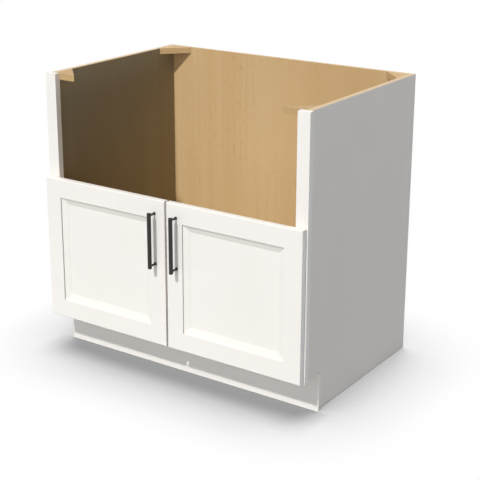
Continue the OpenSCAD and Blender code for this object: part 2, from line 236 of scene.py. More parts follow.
# %% Looks and finishes
def blend_looks(tree, share, first, second):
    return {
        "colour": mix_colour(tree, share, first["colour"], second["colour"]),
        "roughness": mix_number(tree, share, first["roughness"], second["roughness"]),
        "height": mix_number(tree, share, first["height"], second["height"]),
    }


def new_finish(name, look_of, **constants):
    """look_of makes the look in a tree. The constants go straight onto the shader's own sockets."""
    finish = bpy.data.materials.new(name)
    finish.use_nodes = True
    tree = finish.node_tree
    shader = tree.nodes["Principled BSDF"]
    for key, value in constants.items():
        shader.inputs[key.replace("_", " ")].default_value = value
    look = look_of(tree)
    bump = shader_node(tree, "Bump", {"Height": look["height"], "Distance": 1.0})
    tree.links.new(look["colour"], shader.inputs["Base Color"])
    tree.links.new(look["roughness"], shader.inputs["Roughness"])
    tree.links.new(bump.outputs["Normal"], shader.inputs["Normal"])
    return finish


print("looks and finishes are ready")

# %% [markdown]
# ## Cream paint
# The doors and the face frame are sprayed with a warm white satin paint. Sprayed paint is never quite flat:
# it dries with a fine orange peel, its sheen changes a little from place to place, and the grain of the
# wood below shows through as faint streaks. An image could hold all this, but it would end at a seam. Noise
# at three sizes has none, and stays sharp from close by. The narrow sides of the upright pieces are painted
# a cooler, cleaner white, which is painted light: it stands in for cool light on faces that look sideways.
# Slopes that look down are painted a little greyer, which is painted shade.

# %% Cream paint
PAINT_COLOUR = (0.9, 0.862, 0.797, 1.0)
PAINT_THICK_COLOUR = (0.912, 0.876, 0.815, 1.0)
# painted light: a cooler, cleaner white for faces that look sideways
SIDE_FACE_PAINTED_LIGHT = (0.915, 0.89, 0.855, 1.0)
# painted shade: a greyer white for slopes that look down
SLOPE_PAINTED_SHADE = (0.825, 0.785, 0.715, 1.0)
GROOVE_COLOUR = (0.6, 0.57, 0.52, 1.0)
PAINT_STREAKS = {"scale": 420.0, "detail": 3.0, "roughness": 0.6}
PAINT_CLOUDS = {"scale": 5.0}
ORANGE_PEEL = {"scale": 650.0, "detail": 1.0}
STREAK_SQUEEZE = 0.03
THICK_RANGE = (0.35, 0.65)
GROOVE_RANGE = (0.3, 0.5)
GROOVE_SHARE = (0.035, 0.0)
PAINT_ROUGHNESS = (0.36, 0.46)
PEEL_HEIGHT = 0.02 * MM
GROOVE_HEIGHT = 0.012 * MM
SQUARELY = 0.9
BARELY = 0.1


def paint_look(tree, axis):
    here = object_place(tree)
    streaks = noise(tree, along_grain(tree, axis, STREAK_SQUEEZE), **PAINT_STREAKS)
    clouds = noise(tree, here, **PAINT_CLOUDS)
    peel = noise(tree, here, **ORANGE_PEEL)
    colour = mix_colour(tree, ramp(tree, clouds, *THICK_RANGE), PAINT_COLOUR, PAINT_THICK_COLOUR)
    grooves = ramp(tree, streaks, *GROOVE_RANGE)
    colour = mix_colour(tree, ramp(tree, grooves, *WHOLE, *GROOVE_SHARE), colour, GROOVE_COLOUR)
    height = math_node(tree, "MULTIPLY", peel, PEEL_HEIGHT)
    height = math_node(tree, "ADD", height, math_node(tree, "MULTIPLY", grooves, GROOVE_HEIGHT))
    rough = ramp(tree, clouds, *NOISE_RANGE, *PAINT_ROUGHNESS)
    return {"colour": colour, "roughness": rough, "height": height}


def looks_sideways(tree):
    return over(tree, math_node(tree, "ABSOLUTE", facing_along(tree, "X")), SQUARELY)


def slopes_down(tree):
    down = math_node(tree, "MULTIPLY", facing_along(tree, "Z"), -1.0)
    return between(tree, down, BARELY, SQUARELY)


def two_coats_look(tree, axis, mask, colour):
    """Paint that takes another colour where a mask says so: painted light or painted shade."""
    look = paint_look(tree, axis)
    look["colour"] = mix_colour(tree, mask, look["colour"], colour)
    return look


# faces that look sideways take painted light
def upright_look(tree):
    return two_coats_look(tree, "Z", looks_sideways(tree), SIDE_FACE_PAINTED_LIGHT)


# slopes that look down take painted shade
def level_look(tree):
    return two_coats_look(tree, "X", slopes_down(tree), SLOPE_PAINTED_SHADE)


upright_paint = new_finish("cream_paint_grain_z", upright_look)
level_paint = new_finish("cream_paint_grain_x", level_look)
print("made", upright_paint.name, "and", level_paint.name)

# %% [markdown]
# ## Painted shade in the steps of the door frames
# Each door stile drops through a small square step before its sloping moulding. The wall of that step is
# painted grey, which is painted shade: it stands in for the shade that falls into the step. The wall could
# be cut loose and dressed alone, but the frame's meshes stay whole, so a mask finds it: it looks sideways,
# and lies away from the stile's outer edge and from the thin lip at its inner one. Those take the painted
# light of the other sideways faces.

# %% Door stile finish
# painted shade on the walls of the steps, and how much of it
STEP_PAINTED_SHADE = (0.33, 0.325, 0.315, 1.0)
STEP_SHADE_SHARE = 0.85
EDGE_ZONE = 12 * MM
LIP_ZONE = 2 * MM


def door_stile_look(tree):
    near_low, near_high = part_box("right_door_meeting_stile")
    far_low, far_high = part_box("right_door_hinge_stile")
    across = math_node(tree, "ABSOLUTE", place_along(tree, "X"))
    near = between(tree, across, near_low.x + EDGE_ZONE, near_high.x - LIP_ZONE)
    far = between(tree, across, far_low.x + LIP_ZONE, far_high.x - EDGE_ZONE)
    inside = math_node(tree, "ADD", near, far)
    # painted light on the edges and lips, painted shade on the step walls
    sideways_painted_light = mix_colour(tree, math_node(tree, "MULTIPLY", inside, STEP_SHADE_SHARE), SIDE_FACE_PAINTED_LIGHT, STEP_PAINTED_SHADE)
    return two_coats_look(tree, "Z", looks_sideways(tree), sideways_painted_light)


door_stile_paint = new_finish("cream_paint_door_stile", door_stile_look)
print("made", door_stile_paint.name)

# %% [markdown]
# ## Maple veneer
# The inside is maple veneer with an upright grain. A veneer leaf is a slice through the yearly rings, so
# its figure is rings seen almost edge on: straight lines near its edges and long pointed arches in its
# middle. Plain noise gives no arches. Round rings do, once they are squeezed along the grain and a little
# distorted. Short dark pores, fine fibres and broad warm and pale bands lie over them.

# %% Maple veneer
MAPLE_SHEEN = 0.08
MAPLE_PALE = (0.675, 0.469, 0.236, 1.0)
MAPLE_WARM = (0.65, 0.436, 0.211, 1.0)
MAPLE_DARK = (0.43, 0.255, 0.11, 1.0)
MAPLE_ROUGHNESS = (0.4, 0.52)
PORE_DEPTH = -0.01 * MM
BANDS = {"scale": 13.0}
BAND_SQUEEZE = 0.04
BAND_RANGE = (0.38, 0.62)
HEARTS = {"scale": 5.0, "detail": 1.0}
HEART_SQUEEZE = 0.4
HEART_RANGE = (0.42, 0.62)
RINGS = {"Scale": 13.0, "Distortion": 5.0, "Detail": 3.0, "Detail Scale": 1.2}
RING_SQUEEZE = 0.07
RING_RANGE = (0.72, 1.0)
RING_SHARE = (0.01, 0.1)
PORES = {"scale": 220.0, "detail": 1.0}
PORE_SQUEEZE = 0.15
PORE_RANGE = (0.64, 0.72)
PORE_SHARE = (0.05, 0.42)
FIBRES = {"scale": 900.0}
FIBRE_SQUEEZE = 0.012
FIBRE_RANGE = (0.35, 0.65)
FIBRE_SHARE = (0.035, 0.0)


def yearly_rings(tree, axis, heart):
    sockets = {"Vector": along_grain(tree, axis, RING_SQUEEZE, heart), **RINGS}
    made = shader_node(tree, "TexWave", sockets, wave_type="RINGS", rings_direction="SPHERICAL")
    return ramp(tree, made.outputs["Fac"], *RING_RANGE)


def maple_look(tree, axis, heart=(0.0, 0.0, 0.0), pale=MAPLE_PALE, warm=MAPLE_WARM):
    """heart shifts the middle of the rings. pale and warm are colours or the outputs of nodes."""
    bands = noise(tree, along_grain(tree, axis, BAND_SQUEEZE), **BANDS)
    hearts = ramp(tree, noise(tree, along_grain(tree, axis, HEART_SQUEEZE), **HEARTS), *HEART_RANGE)
    pores = noise(tree, along_grain(tree, axis, PORE_SQUEEZE), **PORES)
    fibres = noise(tree, along_grain(tree, axis, FIBRE_SQUEEZE), **FIBRES)
    colour = mix_colour(tree, ramp(tree, bands, *BAND_RANGE), pale, warm)
    ring_share = ramp(tree, hearts, *WHOLE, *RING_SHARE)
    lines = math_node(tree, "MULTIPLY", yearly_rings(tree, axis, heart), ring_share)
    colour = mix_colour(tree, lines, colour, MAPLE_DARK)
    pore_share = ramp(tree, hearts, *WHOLE, *PORE_SHARE)
    pore_marks = math_node(tree, "MULTIPLY", ramp(tree, pores, *PORE_RANGE), pore_share)
    colour = mix_colour(tree, pore_marks, colour, MAPLE_DARK)
    colour = mix_colour(tree, ramp(tree, fibres, *FIBRE_RANGE, *FIBRE_SHARE), colour, MAPLE_DARK)
    height = math_node(tree, "MULTIPLY", math_node(tree, "ADD", fibres, pore_marks), PORE_DEPTH)
    rough = ramp(tree, fibres, *NOISE_RANGE, *MAPLE_ROUGHNESS)
    return {"colour": colour, "roughness": rough, "height": height}


def maple_finish(name, axis, heart, **colours):
    def board_look(tree):
        return maple_look(tree, axis, heart, **colours)

    return new_finish(name, board_look, Specular_IOR_Level=MAPLE_SHEEN)


print("maple look is ready")

# %% [markdown]
# ## Plywood seen at its edges
# The panels are plywood, so a cut edge shows the layers: every second one is end grain and looks darker,
# and a thin glue line parts them. Thin boxes could stand for the layers, but a pattern needs only the
# distance through the board, cut into as many steps as there are layers.

# %% Plywood edges
PLY_COUNT = 9
PLY_PALE = (0.85, 0.685, 0.475, 1.0)
PLY_END = (0.71, 0.53, 0.34, 1.0)
PLY_GLUE = (0.3, 0.18, 0.09, 1.0)
PLY_ROUGHNESS = (0.62, 0.78)
PLY_FIBRES = {"scale": 700.0, "detail": 3.0, "roughness": 0.6}
PLY_SPECKS = {"scale": 1500.0}
PLY_SQUEEZE = 0.05
PLY_FIBRE_SHARE = (0.14, 0.0)
GLUE_WIDTH = (0.03, 0.09)
GLUE_SHARE = (0.5, 0.0)
SPECK_HEIGHT = 0.03 * MM
PAIR_OF_LAYERS = 2.0
HALF_LAYER = 0.5


def ply_edge_look(tree, depth, thickness, axis):
    """depth is how far through the board a place lies, and axis the way that the edge runs."""
    layer = math_node(tree, "MULTIPLY", depth, PLY_COUNT / thickness)
    end_grain = over(tree, math_node(tree, "FLOORED_MODULO", layer, PAIR_OF_LAYERS), PAIR_OF_LAYERS / 2)
    in_layer = math_node(tree, "PINGPONG", layer, HALF_LAYER)
    glue = ramp(tree, in_layer, *GLUE_WIDTH, *GLUE_SHARE)
    fibres = noise(tree, along_grain(tree, axis, PLY_SQUEEZE), **PLY_FIBRES)
    specks = noise(tree, object_place(tree), **PLY_SPECKS)
    colour = mix_colour(tree, end_grain, PLY_PALE, PLY_END)
    colour = mix_colour(tree, ramp(tree, fibres, *FIBRE_RANGE, *PLY_FIBRE_SHARE), colour, PLY_GLUE)
    colour = mix_colour(tree, glue, colour, PLY_GLUE)
    height = math_node(tree, "MULTIPLY", specks, SPECK_HEIGHT)
    rough = ramp(tree, specks, *NOISE_RANGE, *PLY_ROUGHNESS)
    return {"colour": colour, "roughness": rough, "height": height}


print("plywood look is ready")

# %% [markdown]
# ## The back panel
# One board shows three looks: clean veneer inside, a plain rougher leaf that nobody sanded behind, and the
# layers at its edges. Which one a place shows follows from the way that its face looks, so one material
# does it and the board needs no second mesh. The inner leaf is painted slowly paler towards its lower left
# corner, which is painted light against the deeper shade there.

# %% Back panel finish
LEAF_TOP_PALE = (0.602, 0.413, 0.207, 1.0)
LEAF_TOP_WARM = (0.581, 0.383, 0.185, 1.0)
# painted light: the paler leaf colours at the foot of the back
PAINTED_LIGHT_FOOT_PALE = (0.746, 0.542, 0.285, 1.0)
PAINTED_LIGHT_FOOT_WARM = (0.719, 0.504, 0.254, 1.0)
REAR_LEAF = {
    "pale": (0.7, 0.52, 0.31, 1.0),
    "warm": (0.62, 0.44, 0.24, 1.0),
    "heart": (0.3, 0.0, 0.15),
}
# the painted light is full below this height
PAINTED_LIGHT_HEIGHT = 360 * MM
DOWN_SHARE = 0.6
INNER_HEART = (0.08, 0.0, -0.05)
UNSANDED = 0.25
MOSTLY = 0.5


def paler_to_the_foot(tree, low, high):
    """Painted light: from 0 at the upper right of the back to 1 at its lower left."""
    down = ramp(tree, place_along(tree, "Z"), PAINTED_LIGHT_HEIGHT, high.z, 1.0, 0.0)
    left = ramp(tree, place_along(tree, "X"), low.x, high.x, 1.0, 0.0)
    return mix_number(tree, DOWN_SHARE, left, down)


def inner_leaf_look(tree, low, high):
    # painted light towards the lower left
    painted_light_share = paler_to_the_foot(tree, low, high)
    pale = mix_colour(tree, painted_light_share, LEAF_TOP_PALE, PAINTED_LIGHT_FOOT_PALE)
    warm = mix_colour(tree, painted_light_share, LEAF_TOP_WARM, PAINTED_LIGHT_FOOT_WARM)
    return maple_look(tree, "Z", INNER_HEART, pale=pale, warm=warm)


def unsanded_look(tree, axis, **leaf):
    look = maple_look(tree, axis, **leaf)
    look["roughness"] = math_node(tree, "ADD", look["roughness"], UNSANDED)
    return look


def back_panel_look(tree):
    low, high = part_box("back_panel")
    depth = math_node(tree, "SUBTRACT", place_along(tree, "Y"), low.y)
    facing = facing_along(tree, "Y")
    is_edge = under(tree, math_node(tree, "ABSOLUTE", facing), MOSTLY)
    look = inner_leaf_look(tree, low, high)
    look = blend_looks(tree, over(tree, facing, MOSTLY), look, unsanded_look(tree, "Z", **REAR_LEAF))
    return blend_looks(tree, is_edge, look, ply_edge_look(tree, depth, high.y - low.y, "X"))


back_finish = new_finish("back_panel_maple_and_ply", back_panel_look, Specular_IOR_Level=MAPLE_SHEEN)
print("made", back_finish.name)

# %% [markdown]
# ## Side panels: painted outside, maple inside
# A side shows three looks too. Its outer face lies furthest from the middle of the cabinet, so past a line
# just inside that face it is paint. A face that doesn't look sideways is a cut edge, and the rest is
# veneer. The veneer on the insides is painted darker than the back's, which is painted shade for the deep
# bay. The bottom panel's leaf is painted darker too, halfway between, as painted shade that also keeps its
# bounce light off the lower sides.

# %% Side panel finish
SKIN = 0.3 * MM
SIDE_SHEEN = 0.02
# painted shade: the inner veneer of the sides is darker than the back's
SIDE_LEAF_PAINTED_SHADE = {"pale": (0.343, 0.297, 0.203, 1.0), "warm": (0.321, 0.27, 0.18, 1.0)}
# painted shade: the bottom panel's veneer is darker too, halfway between
DECK_LEAF_PAINTED_SHADE = {"pale": (0.5, 0.37, 0.21, 1.0), "warm": (0.47, 0.335, 0.185, 1.0)}
SIDE_HEART = (0.0, 0.25, -0.2)
DECK_HEART = (0.0, 0.3, 0.0)


def side_panel_look(tree):
    low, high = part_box("right_side_panel")
    away = math_node(tree, "ABSOLUTE", place_along(tree, "X"))
    painted = over(tree, away, high.x - SKIN)
    is_edge = under(tree, math_node(tree, "ABSOLUTE", facing_along(tree, "X")), MOSTLY)
    depth = math_node(tree, "SUBTRACT", away, low.x)
    look = maple_look(tree, "Z", SIDE_HEART, **SIDE_LEAF_PAINTED_SHADE)
    look = blend_looks(tree, painted, look, paint_look(tree, "Z"))
    return blend_looks(tree, is_edge, look, ply_edge_look(tree, depth, high.x - low.x, "Y"))


side_finish = new_finish("side_panel_paint_and_maple", side_panel_look, Specular_IOR_Level=SIDE_SHEEN)
deck_veneer = maple_finish("maple_veneer_level", "X", DECK_HEART, **DECK_LEAF_PAINTED_SHADE)
print("made", side_finish.name, "and", deck_veneer.name)

# %% [markdown]
# ## Corner blocks and hidden boards
# The corner blocks are sawn from solid maple, which is a little redder than the veneer, and left bare. The
# pair at the back is painted paler, which is painted light for their slanted faces that turn away from the
# lamp. The boards that nobody sees are plain plywood. All share the veneer's pattern and differ in colour
# and sheen.

# %% Blocks and plywood
FRONT_BLOCKS = {"pale": (0.547, 0.369, 0.179, 1.0), "warm": (0.518, 0.342, 0.161, 1.0)}
# painted light: the rear pair is paler than the front pair
REAR_BLOCKS_PAINTED_LIGHT = {"pale": (0.627, 0.427, 0.215, 1.0), "warm": (0.594, 0.396, 0.194, 1.0)}
PLAIN_PLY = {"pale": (0.62, 0.45, 0.26, 1.0), "warm": (0.56, 0.39, 0.21, 1.0)}
BLOCK_HEART = (0.0, 0.1, 0.0)


def plywood_look(tree):
    return unsanded_look(tree, "X", **PLAIN_PLY)


front_maple = maple_finish("maple_of_front_blocks", "X", BLOCK_HEART, **FRONT_BLOCKS)
# painted light on the rear blocks
rear_maple_painted_light = maple_finish("maple_of_rear_blocks_painted_light", "X", BLOCK_HEART, **REAR_BLOCKS_PAINTED_LIGHT)
plywood = new_finish("bare_plywood", plywood_look)
print("made", front_maple.name + ",", rear_maple_painted_light.name, "and", plywood.name)

# %% [markdown]
# ## Metal and clear plastic
# The handles have a black powder coat with a very fine grain. The hinges and screws are nickel plated, with
# brush lines that stretch their highlights, and the bumpers are clear soft plastic. One flat colour would
# do from afar, but real ones are never even, so broad clouds move the colour and a fine grain the gloss.

# %% Metal and plastic
def hard_finish(name, dark, light, clouds, grain, roughness, bump, squeeze=1.0, **constants):
    """A finish whose colour follows broad clouds, and its gloss and bump a fine grain."""

    def hard_look(tree):
        fine = noise(tree, along_grain(tree, "Z", squeeze), **grain)
        return {
            "colour": mix_colour(tree, noise(tree, object_place(tree), **clouds), dark, light),
            "roughness": ramp(tree, fine, *NOISE_RANGE, *roughness),
            "height": math_node(tree, "MULTIPLY", fine, bump),
        }

    return new_finish(name, hard_look, **constants)


powder_coat = hard_finish(
    "black_powder_coat",
    dark=(0.019, 0.018, 0.017, 1.0),
    light=(0.028, 0.026, 0.025, 1.0),
    clouds={"scale": 60.0},
    grain={"scale": 2600.0},
    roughness=(0.36, 0.5),
    bump=0.01 * MM,
    Specular_IOR_Level=0.35,
)
nickel = hard_finish(
    "nickel_plate",
    dark=(0.52, 0.51, 0.49, 1.0),
    light=(0.66, 0.65, 0.63, 1.0),
    clouds={"scale": 90.0, "detail": 3.0},
    grain={"scale": 1800.0},
    roughness=(0.24, 0.42),
    bump=0.004 * MM,
    squeeze=0.06,
    Metallic=1.0,
)
clear_bumper = hard_finish(
    "clear_bumper",
    dark=(0.86, 0.87, 0.85, 1.0),
    light=(0.93, 0.93, 0.92, 1.0),
    clouds={"scale": 400.0},
    grain={"scale": 400.0},
    roughness=(0.2, 0.4),
    bump=0.01 * MM,
    Transmission_Weight=0.75,
    IOR=1.46,
)
print("made", powder_coat.name + ",", nickel.name, "and", clear_bumper.name)

# %% [markdown]
# ## Dress the cabinet
# Each piece takes its finish by what it is. The paint's streaks follow the wood below, so stiles and panels
# get the upright paint and rails the level one.

# %% Give every piece its finish
FINISHES = (
    (side_finish, "side_panel"),
    (back_finish, "back_panel"),
    (deck_veneer, "bottom_panel"),
    (level_paint, "toe_kick_board"),
    (plywood, "sub_base_board", "deck_brace"),
    (rear_maple_painted_light, "rear_left_corner_block", "rear_right_corner_block"),
    (front_maple, "corner_block"),
    (door_stile_paint, "hinge_stile", "meeting_stile"),
    (powder_coat, "handle_bar", "handle_posts"),
    (clear_bumper, "bumpers"),
    (nickel, "hinge", "screws"),
    (level_paint, "rail"),
    (upright_paint, "stile", "door_panel"),
)


def finish_for(name):
    """The first finish that has a word of the piece's name."""
    return next(finish for finish, *words in FINISHES if any(word in name for word in words))


def dress(piece, finish):
    piece.data.materials.clear()
    piece.data.materials.append(finish)


for name, piece in nodes.items():
    dress(piece, finish_for(name))
print("dressed", len(nodes), "pieces")

# %% [markdown]
# ## Where the fasteners sit
# The frame holds each screw and bumper as a plain round rod. The real ones have shaped heads, threads and
# domes, so one of each kind is modelled and set down wherever a rod is. Its place is read from the frame:
# loose triangles are joined, each solid is found by walking from point to point, and its box gives the
# seat.

# %% Find the seats
WELD = 0.01 * MM


def box_round(places):
    low = Vector([min(place[k] for place in places) for k in range(3)])
    high = Vector([max(place[k] for place in places) for k in range(3)])
    return low, high


def loose_boxes(node):
    """The box round each separate solid of a CAD piece."""
    shape = bmesh.new()
    shape.from_mesh(nodes[node].data)
    bmesh.ops.remove_doubles(shape, verts=shape.verts, dist=WELD)
    shape.verts.index_update()
    seen = set()
    boxes = []
    for start in shape.verts:
        if start.index in seen:
            continue
        seen.add(start.index)
        ahead, found = [start], []
        while ahead:
            point = ahead.pop()
            found.append(point.co.copy())
            for edge in point.link_edges:
                other = edge.other_vert(point)
                if other.index not in seen:
                    seen.add(other.index)
                    ahead.append(other)
        boxes.append(box_round(found))
    shape.free()
    return boxes


def seats_of(node, outward, at_head=True):
    """A place and a direction for each solid. outward gives the way that a solid's head looks."""
    seats = []
    for low, high in loose_boxes(node):
        middle = (low + high) / 2
        way = outward(middle)
        reach = abs((high - low).dot(way)) / 2
        seats.append((middle + way * (reach if at_head else -reach), way))
    return seats


def towards_middle(place):
    return Vector((-math.copysign(1.0, place.x), 0.0, 0.0))


def towards_wall(place):
    return Vector((0.0, 1.0, 0.0))


arm_seats = seats_of("hinge_arm_screws", towards_middle)
print(len(arm_seats), "screws hold the hinge arms to the face frame")

# %% [markdown]
# ## Short calls for geometry nodes
# Geometry Nodes build a mesh from a tree of steps, much as a shader tree builds a colour. A tree has a
# named input for each size, so the same tree can make a long screw and a short one.

# %% Helpers for geometry nodes
def new_tree(name, **sizes):
    """A tree with a named input for each size. Hands back the tree and its inputs."""
    tree = bpy.data.node_groups.new(name, "GeometryNodeTree")
    tree.interface.new_socket("Geometry", in_out="INPUT", socket_type="NodeSocketGeometry")
    for label, size in sizes.items():
        kind = "NodeSocketInt" if isinstance(size, int) else "NodeSocketFloat"
        socket = tree.interface.new_socket(label.replace("_", " "), in_out="INPUT", socket_type=kind)
        socket.default_value = size
    tree.interface.new_socket("Finish", in_out="INPUT", socket_type="NodeSocketMaterial")
    tree.interface.new_socket("Geometry", in_out="OUTPUT", socket_type="NodeSocketGeometry")
    return tree, tree.nodes.new("NodeGroupInput").outputs


def step(tree, kind, sockets=None, family="GeometryNode", **settings):
    """Adds a node and hands back its first output."""
    return add_node(tree, family + kind, sockets, **settings).outputs[0]


def sum_of(tree, operation, first, second):
    return step(tree, "Math", {0: first, 1: second}, family="ShaderNode", operation=operation)


def times(tree, size, share):
    return sum_of(tree, "MULTIPLY", size, share)


def place_of(tree, x=0.0, y=0.0, z=0.0):
    return step(tree, "CombineXYZ", {"X": x, "Y": y, "Z": z}, family="ShaderNode")


print("helpers for steps are ready")

# %% [markdown]
# ## Paths and round solids
# A screw or a bumper is a half outline turned round an axis, and a staple is a section swept along a path.
# A mesh drawn point by point couldn't take its sizes from the tree's inputs. So a line is resampled into as
# many points as the outline has, and an Index Switch picks each point's place and radius by its number.

# %% Helpers for paths
SHARP_TURN = 0.6


def pick(tree, choices, kind):
    """The choice that has the point's own number."""
    made = add_node(tree, "GeometryNodeIndexSwitch", data_type=kind)
    while len(made.index_switch_items) < len(choices):
        made.index_switch_items.new()
    sockets = {str(number): choice for number, choice in enumerate(choices)}
    fill_sockets(tree, made, {"Index": step(tree, "InputIndex"), **sockets})
    return made.outputs[0]


def path_through(tree, places):
    line = step(tree, "ResampleCurve", {"Curve": step(tree, "CurvePrimitiveLine"), "Count": len(places)})
    return step(tree, "SetPosition", {"Geometry": line, "Position": pick(tree, places, "VECTOR")})


def turned(tree, outline, sides):
    """A round solid from its half outline, a list of (height, radius)."""
    line = path_through(tree, [place_of(tree, z=height) for height, radius in outline])
    ring = step(tree, "CurvePrimitiveCircle", {"Resolution": sides, "Radius": 1.0})
    radii = pick(tree, [radius for height, radius in outline], "FLOAT")
    sockets = {"Curve": line, "Profile Curve": ring, "Scale": radii, "Fill Caps": True}
    return step(tree, "CurveToMesh", sockets)


def soften(tree, solid):
    """Smooth shading, except over edges that turn sharply."""
    smooth = step(tree, "SetShadeSmooth", {"Geometry": solid, "Shade Smooth": True})
    angle = step(tree, "InputMeshEdgeAngle")
    sharp = step(tree, "Compare", {0: angle, 1: SHARP_TURN}, family="FunctionNode", operation="GREATER_THAN")
    sockets = {"Geometry": smooth, "Selection": sharp, "Shade Smooth": False}
    return step(tree, "SetShadeSmooth", sockets, domain="EDGE")


print("helpers for paths are ready")

# %% [markdown]
# ## From a tree to a plain mesh
# A tree runs on a seed, a mesh with one point for each seat and a note of how to turn there. The result is
# kept as a plain mesh and the modifier goes, so that nothing live is left on a piece that rides on a body.

# %% Helpers that grow a piece
def end_tree(tree, inputs, shape, rotation, points=None):
    """Sets the shape down on every point, makes it real and gives it its finish."""
    seats = inputs["Geometry"] if points is None else points
    copies = step(tree, "InstanceOnPoints", {"Points": seats, "Instance": shape, "Rotation": rotation})
    real = step(tree, "RealizeInstances", {"Geometry": copies})
    done = step(tree, "SetMaterial", {"Geometry": real, "Material": inputs["Finish"]})
    tree.links.new(done, tree.nodes.new("NodeGroupOutput").inputs["Geometry"])


def rotation_from(tree, euler):
    return step(tree, "EulerToRotation", {"Euler": euler}, family="FunctionNode")


def turn_of_seat(tree):
    return rotation_from(tree, step(tree, "InputNamedAttribute", {"Name": "turn"}, data_type="FLOAT_VECTOR"))


def seed_from(name, seats):
    """One point for each seat, which remembers how to turn."""
    seed = bpy.data.meshes.new(name + "_seats")
    seed.from_pydata([place for place, way in seats], [], [])
    turns = seed.attributes.new("turn", "FLOAT_VECTOR", "POINT")
    for number, (place, way) in enumerate(seats):
        turns.data[number].vector = way.to_track_quat("Z", "Y").to_euler()
    return seed


def grow(name, seed, tree, body, finish, slot, **sizes):
    """Runs a tree on a seed mesh, keeps the result as a plain mesh and hangs it on a body."""
    piece = bpy.data.objects.new(name, seed)
    bpy.context.scene.collection.objects.link(piece)
    modifier = piece.modifiers.new("grow", "NODES")
    modifier.node_group = tree
    values = {label.replace("_", " "): size for label, size in sizes.items()}
    values["Finish"] = finish
    for socket in tree.interface.items_tree:
        if socket.in_out == "INPUT" and socket.name in values:
            modifier[socket.identifier] = values[socket.name]
    now = bpy.context.evaluated_depsgraph_get()
    plain = bpy.data.meshes.new_from_object(piece.evaluated_get(now), depsgraph=now)
    piece.modifiers.remove(modifier)
    piece.data = plain
    plain.name = name
    plain.materials.clear()
    plain.materials.append(finish)
    plain.polygons.foreach_set("material_index", [0] * len(plain.polygons))
    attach(piece, body)
    return piece


print("helpers that grow a piece are ready")

# %% [markdown]
# ## Screws
# A screw is a turned shape: a head, a thin core and a point. Crown makes the head domed and taper makes its
# underside a cone, so one tree gives the pan heads on the hinge arms, the flat heads in the cups and the
# larger heads that hold the handles. Modelling one and instancing it keeps all of them alike.

# %% Turn a screw
POINT_RADIUS = 0.02 * MM
CORE_SHARE = 0.72
THREAD_SHARE = 0.84
SCREW_SIDES = 24
HEAD_DOME = ((0.12, 0.5), (0.36, 0.8), (0.62, 0.95))
RIM_FALL = 0.8
RIM_EDGE = 0.08 * MM


def turned_screw(tree, size):
    """HEAD_DOME holds how far the head has fallen, and how wide it is there, as shares."""
    head, height, shank = size["Head Radius"], size["Head Height"], size["Shank Radius"]
    core = times(tree, shank, CORE_SHARE)
    fall = times(tree, size["Crown"], height)
    foot = times(tree, height, -1.0)
    narrow = times(tree, size["Taper"], sum_of(tree, "SUBTRACT", head, shank))
    dome = [(times(tree, fall, -down), times(tree, head, out)) for down, out in HEAD_DOME]
    outline = [
        (0.0, POINT_RADIUS),
        *dome,
        (sum_of(tree, "SUBTRACT", times(tree, fall, -RIM_FALL), RIM_EDGE), head),
        (foot, sum_of(tree, "SUBTRACT", head, narrow)),
        (sum_of(tree, "SUBTRACT", foot, POINT_RADIUS), core),
        (times(tree, size["Length"], -THREAD_SHARE), core),
        (times(tree, size["Length"], -1.0), POINT_RADIUS),
    ]
    return turned(tree, outline, SCREW_SIDES), core


print("a head's dome is turned from", len(HEAD_DOME), "places and its rim")

# %% [markdown]
# ## The cross and the thread
# The driver's cross is two thin wedges, cut out of the head by a boolean step. The thread could be a
# texture, but it shows in the outline of a screw, so it is a real ridge that winds down it.

# %% The cross, the thread and the screw tree
POKE = 0.3 * MM
WEDGE_TOP = 0.75
WEDGE_FOOT = 0.2
WEDGE_THIN = (1.0, 0.26, 1.0)
EIGHTH_TURN = (0.0, 0.0, math.pi / 4)
QUARTER_TURN = (0.0, 0.0, math.pi / 2)
STEPS_A_TURN = 14
RIDGE_SIDES = 3


def cross_cutter(tree, size):
    """Two crossed wedges, which stand a little proud of the head."""
    sockets = {
        "Vertices": 4,
        "Radius Top": times(tree, size["Cross Width"], WEDGE_TOP),
        "Radius Bottom": times(tree, size["Cross Width"], WEDGE_FOOT),
        "Depth": sum_of(tree, "ADD", size["Cross Depth"], POKE),
    }
    wedge = step(tree, "MeshCone", sockets)
    down = place_of(tree, z=times(tree, size["Cross Depth"], -1.0))
    square = step(tree, "Transform", {"Geometry": wedge, "Translation": down, "Rotation": EIGHTH_TURN})
    thin = step(tree, "Transform", {"Geometry": square, "Scale": WEDGE_THIN})
    other = step(tree, "Transform", {"Geometry": thin, "Rotation": QUARTER_TURN})
    return [thin, other]


def spiral_thread(tree, size, core):
    length = sum_of(tree, "SUBTRACT", times(tree, size["Length"], THREAD_SHARE), size["Head Height"])
    sockets = {
        "Resolution": STEPS_A_TURN,
        "Rotations": sum_of(tree, "DIVIDE", length, size["Pitch"]),
        "Start Radius": core,
        "End Radius": core,
        "Height": length,
    }
    down = place_of(tree, z=times(tree, size["Length"], -THREAD_SHARE))
    spiral = step(tree, "Transform", {"Geometry": step(tree, "CurveSpiral", sockets), "Translation": down})
    depth = sum_of(tree, "SUBTRACT", size["Shank Radius"], core)
    ridge = step(tree, "CurvePrimitiveCircle", {"Resolution": RIDGE_SIDES, "Radius": depth})
    return step(tree, "CurveToMesh", {"Curve": spiral, "Profile Curve": ridge, "Fill Caps": True})


